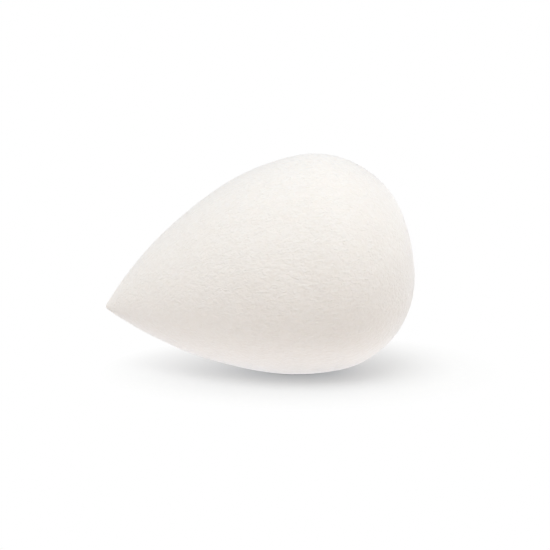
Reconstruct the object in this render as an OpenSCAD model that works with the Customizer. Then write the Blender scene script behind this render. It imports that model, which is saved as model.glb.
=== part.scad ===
// Makeup sponge: one block of fine open-cell foam, cut and ground to a teardrop.
//
// The outline is a chain of five arcs from the tip to the middle of the blunt end:
// tip, flank, shoulder, belly and cap. Each arc is tangent to the next one, and the
// chain is turned round the long axis. The body is then laid on its side, where it
// leans on its shoulder and its own weight presses a small flat into the foam.
//
// The origin is the middle of that flat. +Z points up from the table, and +X points
// along the body, towards the blunt end.

/* [Body] */
// Length along the axis, from the tip to the middle of the blunt end
body_length = 60; // [50:1:72]
// Diameter at the widest section
body_diameter = 42; // [38:0.5:48]
// Length along the axis, from the widest section to the blunt end
blunt_length = 18.3; // [15:0.1:24]

/* [Tip and flank] */
// Full angle between opposite flanks, where they run into the tip
tip_angle = 93; // [75:1:120]
// Radius of the rounded tip
tip_radius = 0.7; // [0.3:0.1:4]
// Diameter of the section where the flank meets the fuller shoulder
shoulder_diameter = 37; // [26:0.5:41]

/* [Blunt end] */
// Diameter of the flatter cap at the blunt end
cap_diameter = 13.5; // [8:0.5:30]

/* [Rest] */
// Angle between the long axis and the table, with the tip lower than the blunt end
rest_tilt = 12; // [6:0.5:18]
// Depth of the flat that the weight of the body presses into the foam
rest_depth = 0.5; // [0.2:0.1:1]

/* [Hidden] */

// Sides of the polygon that stands for a circle in the preview
$fn = 96;

// A point of the outline is [distance from the axis, distance along it from the tip].
// A slope is the angle of the outline against the axis: it falls from the crossing
// slope at the tip, through zero at the widest section, to its opposite at the cap.
crossing_slope = 90;

// Direction that points out of the outline where it has the given slope
function outward(slope) = [cos(slope), -sin(slope)];

// Slope at which an arc that starts level at the widest section meets the arc after it,
// so that both are tangent there and the second one ends at the given end slope. The
// reach is along the axis, and the other three lengths are distances from it.
function meeting_slope(reach, outer, meeting, inner, end_slope) =
    let (
        k = tan(end_slope / 2),
        a = reach + (meeting - inner) * k,
        b = reach * k - (outer - inner),
        c = (outer - meeting) * k
    )
    2 * atan((sqrt(b * b + 4 * a * c) - b) / (2 * a));

// Widest section
widest = [body_diameter / 2, body_length - blunt_length];

// Tip: its centre is on the axis, and it ends where the flank starts
flank_slope = tip_angle / 2;
tip_centre = [0, tip_radius];
tip_end = tip_centre + tip_radius * outward(flank_slope);

// Flank and shoulder
shoulder_slope = meeting_slope(
    widest.y - tip_end.y, widest.x, shoulder_diameter / 2, tip_end.x, flank_slope
);
shoulder_radius = (widest.x - shoulder_diameter / 2) / (1 - cos(shoulder_slope));
shoulder_centre = widest - shoulder_radius * outward(0);
flank_end = shoulder_centre + shoulder_radius * outward(shoulder_slope);
flank_radius = (flank_end.x - tip_end.x) / (cos(shoulder_slope) - cos(flank_slope));
flank_centre = flank_end - flank_radius * outward(shoulder_slope);

// Belly and cap: the outline falls here, so the slopes are negative
cap_slope = -meeting_slope(
    blunt_length, widest.x, cap_diameter / 2, 0, crossing_slope
);
belly_radius = (widest.x - cap_diameter / 2) / (1 - cos(cap_slope));
belly_centre = widest - belly_radius * outward(0);
cap_radius = cap_diameter / 2 / cos(cap_slope);
cap_centre = [0, body_length - cap_radius];

// Arcs of the outline in order: centre, radius, slope at the start, slope at the end
ARCS = [
    [tip_centre, tip_radius, crossing_slope, flank_slope],
    [flank_centre, flank_radius, flank_slope, shoulder_slope],
    [shoulder_centre, shoulder_radius, shoulder_slope, 0],
    [belly_centre, belly_radius, 0, cap_slope],
    [cap_centre, cap_radius, cap_slope, -crossing_slope]
];
LAST = len(ARCS) - 1;

// Two arcs that only touch share no clean edge. So each one is drawn this much proud
// of every flatter one, and runs on under a flatter neighbour by this angle.
seam_rise = 0.001;
seam_lap = 10;

// The table touches the shoulder, or the flank where the body leans past the shoulder
resting_arc = ARCS[rest_tilt < shoulder_slope ? 2 : 1];
resting_point = resting_arc[0] + resting_arc[1] * outward(rest_tilt);

// What lies between one arc of the outline and a line just inside its chord
module arc_sliver(index) {
    centre = ARCS[index][0];
    radius = ARCS[index][1];
    flatter = [for (arc = ARCS) arc[1] > radius];
    start = ARCS[index][2] + (index > 0 && flatter[index - 1] ? seam_lap : 0);
    end = ARCS[index][3] - (index < LAST && flatter[index + 1] ? seam_lap : 0);
    rise = seam_rise * len([for (is_flatter = flatter) if (is_flatter) true]);
    inner = radius - tip_radius / 2;
    outer = radius * 2;
    intersection() {
        translate(centre)
            circle(r = radius + rise);
        polygon([
            centre + inner * outward(end),
            centre + inner * outward(start),
            centre + outer * outward(start),
            centre + outer * outward((start + end) / 2),
            centre + outer * outward(end)
        ]);
    }
}

// Half of the section through the long axis
module outline() {
    intersection() {
        union() {
            polygon([
                [0, 0],
                for (arc = ARCS) arc[0] + arc[1] * outward(arc[3])
            ]);
            for (index = [0 : LAST])
                arc_sliver(index);
        }
        translate([0, -body_length])
            square([body_diameter, 3 * body_length]);
    }
}

// The teardrop laid over, with its lowest point sunk to rest_depth below the table,
// and cut off there
module foam_body() {
    color("linen")
        difference() {
            translate([0, 0, -rest_depth])
                rotate([0, 90 - rest_tilt, 0])
                    translate([-resting_point.x, 0, -resting_point.y])
                        rotate_extrude()
                            outline();
            translate([-body_length, -body_diameter, -body_length])
                cube([2 * body_length, 2 * body_diameter, body_length]);
        }
}

foam_body();
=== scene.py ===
import math

import bmesh
import bpy
import numpy as np
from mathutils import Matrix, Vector, noise


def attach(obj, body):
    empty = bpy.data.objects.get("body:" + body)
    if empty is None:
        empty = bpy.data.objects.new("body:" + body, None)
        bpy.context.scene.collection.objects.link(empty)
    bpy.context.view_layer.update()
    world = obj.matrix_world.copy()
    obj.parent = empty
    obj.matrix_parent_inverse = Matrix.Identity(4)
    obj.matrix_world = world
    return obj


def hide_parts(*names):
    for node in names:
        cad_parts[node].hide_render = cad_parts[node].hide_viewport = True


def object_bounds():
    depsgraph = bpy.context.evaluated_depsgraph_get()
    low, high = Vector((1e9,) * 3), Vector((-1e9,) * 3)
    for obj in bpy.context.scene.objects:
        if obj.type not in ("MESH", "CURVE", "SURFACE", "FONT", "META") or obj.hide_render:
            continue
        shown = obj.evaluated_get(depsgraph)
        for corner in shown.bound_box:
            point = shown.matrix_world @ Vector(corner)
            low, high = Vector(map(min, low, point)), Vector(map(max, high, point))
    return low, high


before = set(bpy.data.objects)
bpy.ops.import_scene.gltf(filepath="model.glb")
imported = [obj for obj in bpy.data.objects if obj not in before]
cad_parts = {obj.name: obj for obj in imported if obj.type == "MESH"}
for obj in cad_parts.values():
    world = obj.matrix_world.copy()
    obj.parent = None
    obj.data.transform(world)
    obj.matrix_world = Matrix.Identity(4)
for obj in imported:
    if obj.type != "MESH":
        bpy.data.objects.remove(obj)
cad_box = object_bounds()

# Outline of the body, with the sizes and names that the solid has
BODY_LENGTH = 0.060
BODY_DIAMETER = 0.042
BLUNT_LENGTH = 0.0183
TIP_ANGLE = math.radians(93)
TIP_RADIUS = 0.0007
SHOULDER_DIAMETER = 0.037
CAP_DIAMETER = 0.0135
REST_TILT = math.radians(12)
REST_DEPTH = 0.0005
# Place of the shoulder, on which the body rests, in the chain of arcs
SHOULDER_ARC = 2

# Skin of the body: cells along each edge of the cube that is blown up into it
SKIN_CELLS = 128
# How much closer together the cells lie at the tip, and over what share of the outline
TIP_CLOSENESS = 0.6
TIP_SHARE = 0.04
# Rounding between the flat under the body and the free skin round it
REST_ROUNDING = 0.00015
# Smallest distance from the axis that the skin divides by
AXIS_LIMIT = 1e-9

# Unevenness left by grinding the block: width and height of a swell, number of octaves,
# how much finer each octave is than the last, and the power by which it gets lower
SWELL_WIDTH = 0.011
SWELL_HEIGHT = 0.00009
SWELL_OCTAVES = 2
SWELL_REFINEMENT = 2.0
SWELL_FALL = 1.0

# Crinkles of the foam skin: width, length against width, and depth
CRINKLE_WIDTH = 0.0009
CRINKLE_STRETCH = 1.4
CRINKLE_DEPTH = 0.00003
# How far the crinkles wander, in widths, and how often against their own frequency
WANDER_REACH = 0.5
WANDER_FREQUENCY = 0.6
# Seed of that wander, which would follow the clock without it. 0 would too.
WANDER_SEED = 1
# Height and frequency of the finer crinkles on top, against those of the wide ones
FINE_CRINKLE_SHARE = 0.5
FINE_CRINKLE_FREQUENCY = 2.1

# Relief too fine for the mesh: depth of each kind, and size of a cell of its pattern,
# first along the body and then across it
CREASE_DEPTH = 0.00013
CREASE_SIZE = (0.00095, 0.00055, 0.00055)
GRAIN_DEPTH = 0.00002
GRAIN_SIZE = (0.00045, 0.00032, 0.00032)
PORE_DEPTH = 0.00001
PORE_SIZE = (0.00034, 0.00034, 0.00034)

# Foam in its finest hollows, darkened there as painted shade, and on its crests, lightened there
# as painted light, and the heights at which it has these
SHADED_HOLLOW_COLOUR = (0.806, 0.768, 0.728)
LIT_CREST_COLOUR = (0.844, 0.814, 0.781)
HOLLOW_HEIGHT = 0.3
CREST_HEIGHT = 0.7
# That height is the creases with this share of grain, which sets the painted shade, and then this
# share of blotches, which vary the tone at random
GRAIN_SHARE = 0.4
BLOTCH_SHARE = 0.25
BLOTCH_SIZE = (0.007, 0.007, 0.007)
# Roughness in the middle of a pore, and at the distance of a whole cell from there
PORE_ROUGHNESS = 0.95
WALL_ROUGHNESS = 0.82

# Viewing angle and framing of the photograph, whose sides have this many pixels
PHOTO_SIDE = 550
CAMERA_ELEVATION = math.radians(12)
CAMERA_DISTANCE = 0.356
LENS = 120
SENSOR = 36
# Pixel at which the photograph shows the middle of the flat under the body
REST_PIXEL = (295.6, 368.25)

# Colour of the studio and of the backdrop
WHITE = (1, 1, 1, 1)
# Radiance of the studio all round, and what its back, left and right walls add to that.
# The side towards the camera adds nothing.
ROOM_LEVEL = 0.247
BACK_LEVEL = 0.32
LEFT_LEVEL = 0.70
RIGHT_LEVEL = 1.12

# Radiance that the softbox overhead gives a white card that faces it
SOFTBOX_LEVEL = 0.53
SOFTBOX_SIZE = (0.40, 0.30)
SOFTBOX_ELEVATION = math.radians(62)
SOFTBOX_DISTANCE = 0.58
SOFTBOX_SHIFT = -0.05
SOFTBOX_COLOUR = (0.97, 1.00, 1.01)

# Glow of the opal card under the body, which fills in its underside
CARD_LEVEL = 0.378
CARD_COLOUR = (0.93, 1.00, 1.10)
CARD_SIZE = (0.086, 0.052)
CARD_HEIGHT = 0.0001
# What the card glows more round the flat on which the body rests. That lamp lies a
# little higher, because two lamps in one plane hide each other.
REST_GLOW_LEVEL = 0.13
REST_GLOW_SIZE = (0.034, 0.020)
REST_GLOW_CENTRE = (-0.003, 0)
REST_GLOW_HEIGHT = 2 * CARD_HEIGHT

FLOOR_SIZE = 4.0
# Colour of the floor in the light that it throws back, and as it is seen
FLOOR_COLOUR = (0.725, 0.675, 0.640)
SEEN_FLOOR_COLOUR = (0.835, 0.835, 0.825)
# Painted shadow: colour of the seen floor where the body covers it, and how near a part has to be
# for that
PAINTED_CONTACT_SHADOW_COLOUR = (0.490, 0.503, 0.515)
CONTACT_SHADOW_REACH = 0.014
# The seen floor turns into plain white backdrop from this point out to the edge of an oval
BACKDROP_CENTRE = (0.0013, -0.0014, 0)
BACKDROP_REACH = (0.0391, 0.0285, 1)


def outward(slope):
    """Direction out of the outline where it has this slope: away from the axis, and along it."""
    return np.array([np.cos(slope), -np.sin(slope)])


def meeting_slope(reach, outer, meeting, inner, end_slope):
    """Slope at which an arc that starts level meets the tangent arc that ends at end_slope."""
    k = math.tan(end_slope / 2)
    a = reach + (meeting - inner) * k
    b = reach * k - (outer - inner)
    c = (outer - meeting) * k
    return 2 * math.atan((math.sqrt(b * b + 4 * a * c) - b) / (2 * a))


def outline_arcs():
    """Arcs from the tip to the cap: centre, radius, slope at the start, slope at the end."""
    crossing = math.pi / 2
    widest = np.array([BODY_DIAMETER / 2, BODY_LENGTH - BLUNT_LENGTH])
    flank_slope = TIP_ANGLE / 2
    tip_centre = np.array([0, TIP_RADIUS])
    tip_end = tip_centre + TIP_RADIUS * outward(flank_slope)

    shoulder_slope = meeting_slope(
        widest[1] - tip_end[1], widest[0], SHOULDER_DIAMETER / 2, tip_end[0], flank_slope
    )
    shoulder_radius = (widest[0] - SHOULDER_DIAMETER / 2) / (1 - math.cos(shoulder_slope))
    shoulder_centre = widest - shoulder_radius * outward(0)
    flank_end = shoulder_centre + shoulder_radius * outward(shoulder_slope)
    flank_radius = (flank_end[0] - tip_end[0]) / (math.cos(shoulder_slope) - math.cos(flank_slope))
    flank_centre = flank_end - flank_radius * outward(shoulder_slope)

    cap_slope = -meeting_slope(BLUNT_LENGTH, widest[0], CAP_DIAMETER / 2, 0, crossing)
    belly_radius = (widest[0] - CAP_DIAMETER / 2) / (1 - math.cos(cap_slope))
    belly_centre = widest - belly_radius * outward(0)
    cap_radius = CAP_DIAMETER / 2 / math.cos(cap_slope)
    cap_centre = np.array([0, BODY_LENGTH - cap_radius])
    return [
        (tip_centre, TIP_RADIUS, crossing, flank_slope),
        (flank_centre, flank_radius, flank_slope, shoulder_slope),
        (shoulder_centre, shoulder_radius, shoulder_slope, 0),
        (belly_centre, belly_radius, 0, cap_slope),
        (cap_centre, cap_radius, cap_slope, -crossing),
    ]


def walk_outline(share):
    """Point and outward direction of the outline at each share of its length from the tip."""
    arcs = outline_arcs()
    lengths = [radius * (start - end) for _, radius, start, end in arcs]
    walked = share * sum(lengths)
    points = np.zeros((len(share), 2))
    directions = np.zeros((len(share), 2))
    begun = 0.0
    for (centre, radius, start, _), length in zip(arcs, lengths):
        here = walked >= begun
        slope = start - (walked[here] - begun) / radius
        directions[here] = outward(slope).T
        points[here] = centre + radius * directions[here]
        begun += length
    return points, directions


def tip_spacing(share):
    """Maps 0..1 to 0..1, with the steps closer together near 0, where the tip is."""
    eased = share - TIP_CLOSENESS * TIP_SHARE * (1 - np.exp(-share / TIP_SHARE))
    return eased / (1 - TIP_CLOSENESS * TIP_SHARE)


def wrap_body(cube):
    """Maps a cube from -1 to 1 onto the upright body: its points, and the way each one faces."""
    ball = np.tan(cube * math.pi / 4)
    ball /= np.linalg.norm(ball, axis=1, keepdims=True)
    share = tip_spacing(np.arccos(np.clip(-ball[:, 2], -1, 1)) / math.pi)
    points, directions = walk_outline(share)
    ring = np.hypot(ball[:, 0], ball[:, 1])
    around = ball[:, :2] / np.maximum(ring, AXIS_LIMIT)[:, None]
    upright = np.column_stack([points[:, :1] * around, points[:, 1]])
    facing = np.column_stack([directions[:, :1] * around, directions[:, 1]])
    return upright, facing


def swell(point):
    """Slow unevenness of the ground surface, from about -1 to 1."""
    return noise.fractal(point / SWELL_WIDTH, SWELL_FALL, SWELL_REFINEMENT, SWELL_OCTAVES)


def crinkle(point):
    """Fine creases of the skin, about 0 in a crease and up to 1 between creases."""
    spot = Vector((point.x / CRINKLE_STRETCH, point.y, point.z)) / CRINKLE_WIDTH
    bent = spot + WANDER_REACH * noise.noise_vector(spot * WANDER_FREQUENCY)
    fine = abs(noise.noise(bent * FINE_CRINKLE_FREQUENCY))
    return abs(noise.noise(bent)) + FINE_CRINKLE_SHARE * fine


def relief(points):
    """Height of the swells and the crinkles at each point of the upright body."""
    noise.seed_set(WANDER_SEED)
    swells = np.array([swell(Vector(point)) for point in points])
    crinkles = np.array([crinkle(Vector(point)) for point in points])
    return SWELL_HEIGHT * swells + CRINKLE_DEPTH * (crinkles - 1)


def lay_over(vectors):
    """Turns vectors from the upright body, tip down, to the body that lies on its side."""
    sideways, depth, along = vectors.T
    lean_sin = math.sin(REST_TILT)
    lean_cos = math.cos(REST_TILT)
    return np.stack(
        [sideways * lean_sin + along * lean_cos, depth, along * lean_sin - sideways * lean_cos],
        axis=1,
    )


def press_flat(placed):
    """Presses the skin that would sink below the floor into a flat with a soft edge."""
    height = placed[:, 2] - REST_DEPTH
    height = (height + np.sqrt(height ** 2 + REST_ROUNDING ** 2)) / 2
    placed[:, 2] = height - height.min()


def foam_skin(mesh):
    """Moves a cube's fine grid onto the body, and adds the swells, the crinkles and the flat."""
    cube = np.zeros(len(mesh.vertices) * 3)
    mesh.vertices.foreach_get("co", cube)
    upright, facing = wrap_body(cube.reshape(-1, 3))
    upright += relief(upright)[:, None] * facing

    centre, radius = outline_arcs()[SHOULDER_ARC][:2]
    resting = centre + radius * outward(REST_TILT)
    placed = lay_over(upright - np.array([resting[0], 0, resting[1]]))
    press_flat(placed)
    mesh.vertices.foreach_set("co", placed.ravel())
    mesh.update()


def foam_body():
    """The sponge: one closed skin, which stands for the solid."""
    grid = bmesh.new()
    bmesh.ops.create_cube(grid, size=2)
    bmesh.ops.subdivide_edges(grid, edges=grid.edges, cuts=SKIN_CELLS - 1, use_grid_fill=True)
    mesh = bpy.data.meshes.new("foam_skin")
    grid.to_mesh(mesh)
    grid.free()
    foam_skin(mesh)
    mesh.shade_smooth()
    body = bpy.data.objects.new("foam_skin", mesh)
    bpy.context.scene.collection.objects.link(body)
    mesh.materials.append(foam_material())
    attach(body, "root")
    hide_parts("foam_body")


def add_node(tree, kind, **inputs):
    """Adds a node and sets its sockets by name, with spaces written as underscores."""
    node = tree.nodes.new(kind)
    for name, value in inputs.items():
        node.inputs[name.replace("_", " ")].default_value = value
    return node


def new_material(name):
    """Material with an empty node tree."""
    material = bpy.data.materials.new(name)
    material.use_nodes = True
    material.node_tree.nodes.clear()
    return material


def mix_shaders(tree, share, first, second):
    """Mix of two shaders, with the share of the second taken from a socket."""
    mixed = tree.nodes.new("ShaderNodeMixShader")
    tree.links.new(share, mixed.inputs["Fac"])
    tree.links.new(first, mixed.inputs[1])
    tree.links.new(second, mixed.inputs[2])
    return mixed.outputs["Shader"]


def pattern(tree, place, kind, output, size, **inputs):
    """Height of a texture whose cells have this size, first along the body's axis."""
    cells = add_node(tree, "ShaderNodeMapping", Rotation=(0, -REST_TILT, 0), Scale=size)
    cells.vector_type = "TEXTURE"
    tree.links.new(place, cells.inputs["Vector"])
    texture = add_node(tree, kind, Scale=1.0, **inputs)
    tree.links.new(cells.outputs["Vector"], texture.inputs["Vector"])
    return texture.outputs[output]


def fine_relief(tree, layers):
    """Normal of a surface with these layers of relief, each a height and its depth."""
    normal = None
    for height, depth in layers:
        bump = add_node(tree, "ShaderNodeBump", Strength=1.0, Distance=depth)
        tree.links.new(height, bump.inputs["Height"])
        if normal is not None:
            tree.links.new(normal, bump.inputs["Normal"])
        normal = bump.outputs["Normal"]
    return normal


def blend(tree, first, second, share):
    """Mix of two heights, with this share of the second."""
    mix = tree.nodes.new("ShaderNodeMix")
    mix.data_type = "FLOAT"
    mix.inputs["Factor"].default_value = share
    tree.links.new(first, mix.inputs["A"])
    tree.links.new(second, mix.inputs["B"])
    return mix.outputs["Result"]


def foam_tone_and_hollow_shade(tree, height):
    """Colour of the foam by the height of its fine relief: painted shade in the hollows, painted
    light on the crests.
    """
    tone = tree.nodes.new("ShaderNodeValToRGB")
    shaded_hollow, lit_crest = tone.color_ramp.elements
    shaded_hollow.position = HOLLOW_HEIGHT
    shaded_hollow.color = (*SHADED_HOLLOW_COLOUR, 1)
    lit_crest.position = CREST_HEIGHT
    lit_crest.color = (*LIT_CREST_COLOUR, 1)
    tree.links.new(height, tone.inputs["Fac"])
    return tone.outputs["Color"]


def foam_dullness(tree, pores):
    """Roughness of the foam, which is dullest in the middle of its pores."""
    dullness = add_node(
        tree,
        "ShaderNodeMapRange",
        From_Min=0.0,
        From_Max=1.0,
        To_Min=PORE_ROUGHNESS,
        To_Max=WALL_ROUGHNESS,
    )
    tree.links.new(pores, dullness.inputs["Value"])
    return dullness.outputs["Result"]


def foam_material():
    """Fine open-cell foam: warm off-white, matt, with soft creases, pores and a faint nap."""
    material = new_material("foam")
    tree = material.node_tree
    output = tree.nodes.new("ShaderNodeOutputMaterial")
    skin = add_node(
        tree,
        "ShaderNodeBsdfPrincipled",
        Subsurface_Weight=0.15,
        Subsurface_Radius=(1.0, 0.85, 0.7),
        Subsurface_Scale=0.0015,
        Sheen_Weight=1.0,
        Sheen_Roughness=0.5,
        Specular_IOR_Level=0.25,
    )
    tree.links.new(skin.outputs["BSDF"], output.inputs["Surface"])

    place = tree.nodes.new("ShaderNodeTexCoord").outputs["Object"]
    uneven = (tree, place, "ShaderNodeTexNoise", "Fac")
    bubbly = (tree, place, "ShaderNodeTexVoronoi", "Distance")
    creases = pattern(*uneven, CREASE_SIZE, Detail=0.0, Distortion=1.0)
    grain = pattern(*uneven, GRAIN_SIZE, Detail=1.0, Roughness=0.5)
    pores = pattern(*bubbly, PORE_SIZE, Randomness=1.0)
    blotches = pattern(*uneven, BLOTCH_SIZE, Detail=3.0, Roughness=0.5)

    layers = ((pores, PORE_DEPTH), (grain, GRAIN_DEPTH), (creases, CREASE_DEPTH))
    tree.links.new(fine_relief(tree, layers), skin.inputs["Normal"])
    # Colour by relief height: painted shade in the hollows of the creases and grain, with random
    # blotches of tone on top
    hollow_shade_height = blend(tree, creases, grain, GRAIN_SHARE)
    height = blend(tree, hollow_shade_height, blotches, BLOTCH_SHARE)
    tree.links.new(foam_tone_and_hollow_shade(tree, height), skin.inputs["Base Color"])
    tree.links.new(foam_dullness(tree, pores), skin.inputs["Roughness"])
    return material


def seen_or_mirrored(tree):
    """1 for the rays of the camera, of a reflection and of glass, and 0 for those that light."""
    light_path = tree.nodes.new("ShaderNodeLightPath")
    total = light_path.outputs["Is Camera Ray"]
    for name in ("Is Glossy Ray", "Is Transmission Ray"):
        either = tree.nodes.new("ShaderNodeMath")
        either.operation = "MAXIMUM"
        tree.links.new(total, either.inputs[0])
        tree.links.new(light_path.outputs[name], either.inputs[1])
        total = either.outputs["Value"]
    return total


def floor_shade(tree):
    """Colour of the seen floor, with a painted shadow that darkens it close under the body."""
    # Painted contact shadow: ambient occlusion darkens the seen floor towards the contact colour
    uncovered = add_node(tree, "ShaderNodeAmbientOcclusion", Distance=CONTACT_SHADOW_REACH)
    shade = tree.nodes.new("ShaderNodeMix")
    shade.data_type = "RGBA"
    tree.links.new(uncovered.outputs["AO"], shade.inputs["Factor"])
    painted_shadow, bare = [socket for socket in shade.inputs if socket.type == "RGBA"]
    painted_shadow.default_value = (*PAINTED_CONTACT_SHADOW_COLOUR, 1)
    bare.default_value = (*SEEN_FLOOR_COLOUR, 1)
    return next(socket for socket in shade.outputs if socket.type == "RGBA")


def backdrop_share(tree):
    """0 in the middle of the oval under the body, and 1 from its edge outwards."""
    place = tree.nodes.new("ShaderNodeTexCoord")
    oval = add_node(tree, "ShaderNodeMapping", Location=BACKDROP_CENTRE, Scale=BACKDROP_REACH)
    oval.vector_type = "TEXTURE"
    tree.links.new(place.outputs["Object"], oval.inputs["Vector"])
    distance = tree.nodes.new("ShaderNodeVectorMath")
    distance.operation = "LENGTH"
    tree.links.new(oval.outputs["Vector"], distance.inputs[0])
    away = tree.nodes.new("ShaderNodeMapRange")
    tree.links.new(distance.outputs["Value"], away.inputs["Value"])
    return away.outputs["Result"]


def floor_material():
    """Pale floor that looks white, keeps the body's shadow, has a painted shadow close under the
    body, and is plain backdrop further away.
    """
    material = new_material("floor")
    tree = material.node_tree
    output = tree.nodes.new("ShaderNodeOutputMaterial")
    lit = add_node(tree, "ShaderNodeBsdfDiffuse", Color=(*FLOOR_COLOUR, 1)).outputs["BSDF"]
    paint = tree.nodes.new("ShaderNodeBsdfDiffuse")
    tree.links.new(floor_shade(tree), paint.inputs["Color"])
    backdrop = add_node(tree, "ShaderNodeEmission", Color=WHITE, Strength=1.0)
    seen = mix_shaders(
        tree, backdrop_share(tree), paint.outputs["BSDF"], backdrop.outputs["Emission"]
    )
    mixed = mix_shaders(tree, seen_or_mirrored(tree), lit, seen)
    tree.links.new(mixed, output.inputs["Surface"])
    return material


def floor():
    """Level floor through the flat on which the body rests."""
    half = FLOOR_SIZE / 2
    corners = [(-half, -half, 0), (half, -half, 0), (half, half, 0), (-half, half, 0)]
    mesh = bpy.data.meshes.new("floor")
    mesh.from_pydata(corners, [], [(0, 1, 2, 3)])
    mesh.materials.append(floor_material())
    plane = bpy.data.objects.new("floor", mesh)
    bpy.context.scene.collection.objects.link(plane)


def wall_light(tree, direction, wall, strength):
    """Node that adds one wall: all its strength straight towards it, and 0 away from it."""
    facing = tree.nodes.new("ShaderNodeVectorMath")
    facing.operation = "DOT_PRODUCT"
    facing.inputs[1].default_value = wall
    tree.links.new(direction, facing.inputs[0])
    towards = tree.nodes.new("ShaderNodeMath")
    towards.operation = "MAXIMUM"
    towards.inputs[1].default_value = 0.0
    tree.links.new(facing.outputs["Value"], towards.inputs[0])
    added = tree.nodes.new("ShaderNodeMath")
    added.operation = "MULTIPLY_ADD"
    added.inputs[1].default_value = strength
    tree.links.new(towards.outputs["Value"], added.inputs[0])
    return added


def room_light(tree):
    """Radiance of the room in each direction: one level, with the three walls added in turn."""
    direction = tree.nodes.new("ShaderNodeTexCoord").outputs["Generated"]
    back = wall_light(tree, direction, (0, 1, 0), BACK_LEVEL)
    left = wall_light(tree, direction, (-1, 0, 0), LEFT_LEVEL)
    right = wall_light(tree, direction, (1, 0, 0), RIGHT_LEVEL)
    back.inputs[2].default_value = ROOM_LEVEL
    tree.links.new(back.outputs["Value"], left.inputs[2])
    tree.links.new(left.outputs["Value"], right.inputs[2])
    return right.outputs["Value"]


def surround():
    """White studio all round: plain white where it is seen, and a soft level where it lights."""
    world = bpy.data.worlds.new("surround")
    bpy.context.scene.world = world
    world.use_nodes = True
    tree = world.node_tree
    tree.nodes.clear()
    output = tree.nodes.new("ShaderNodeOutputWorld")
    lighting = add_node(tree, "ShaderNodeBackground", Color=WHITE)
    tree.links.new(room_light(tree), lighting.inputs["Strength"])
    seen = add_node(tree, "ShaderNodeBackground", Color=WHITE, Strength=1.0)
    mixed = mix_shaders(
        tree,
        seen_or_mirrored(tree),
        lighting.outputs["Background"],
        seen.outputs["Background"],
    )
    tree.links.new(mixed, output.inputs["Surface"])


def softbox():
    """Large soft lamp overhead, a little to the front, which lights the top."""
    lamp = bpy.data.lights.new("softbox", "AREA")
    lamp.shape = "RECTANGLE"
    lamp.size, lamp.size_y = SOFTBOX_SIZE
    lamp.color = SOFTBOX_COLOUR
    place = Vector(
        (
            SOFTBOX_SHIFT,
            -SOFTBOX_DISTANCE * math.cos(SOFTBOX_ELEVATION),
            SOFTBOX_DISTANCE * math.sin(SOFTBOX_ELEVATION),
        )
    )
    lamp.energy = SOFTBOX_LEVEL * math.pi ** 2 * place.length_squared
    holder = bpy.data.objects.new("softbox", lamp)
    holder.location = place
    holder.rotation_euler = place.to_track_quat("Z", "Y").to_euler()
    bpy.context.scene.collection.objects.link(holder)


def upward_glow(name, centre, height, size, level):
    """Oval lamp of this radiance just over the floor, which shines up and isn't seen itself."""
    lamp = bpy.data.lights.new(name, "AREA")
    lamp.shape = "ELLIPSE"
    lamp.size, lamp.size_y = size
    lamp.color = CARD_COLOUR
    lamp.energy = level * math.pi * math.pi / 4 * size[0] * size[1]
    holder = bpy.data.objects.new(name, lamp)
    holder.location = (*centre, height)
    holder.rotation_euler = (math.pi, 0, 0)
    holder.visible_camera = False
    bpy.context.scene.collection.objects.link(holder)


def bounce_card():
    """Faint glow from the floor under the body, as an opal table gives."""
    low, high = cad_box
    middle = ((low.x + high.x) / 2, (low.y + high.y) / 2)
    upward_glow("bounce_card", middle, CARD_HEIGHT, CARD_SIZE, CARD_LEVEL)
    upward_glow("rest_glow", REST_GLOW_CENTRE, REST_GLOW_HEIGHT, REST_GLOW_SIZE, REST_GLOW_LEVEL)


def camera():
    """Camera at the photograph's angle, aimed so that the flat lands on its pixel."""
    lens = bpy.data.cameras.new("camera")
    lens.lens = LENS
    lens.sensor_width = SENSOR
    back = Vector((0, -math.cos(CAMERA_ELEVATION), math.sin(CAMERA_ELEVATION)))
    right = Vector((1, 0, 0))
    up = back.cross(right)
    pixel = CAMERA_DISTANCE * SENSOR / LENS / PHOTO_SIDE
    middle = PHOTO_SIDE / 2
    aim = right * (middle - REST_PIXEL[0]) * pixel + up * (REST_PIXEL[1] - middle) * pixel
    eye = bpy.data.objects.new("camera", lens)
    eye.location = aim + back * CAMERA_DISTANCE
    eye.rotation_euler = back.to_track_quat("Z", "Y").to_euler()
    bpy.context.scene.collection.objects.link(eye)
    bpy.context.scene.camera = eye


foam_body()
floor()
surround()
softbox()
bounce_card()
camera()
bpy.context.scene.view_settings.view_transform = "Standard"
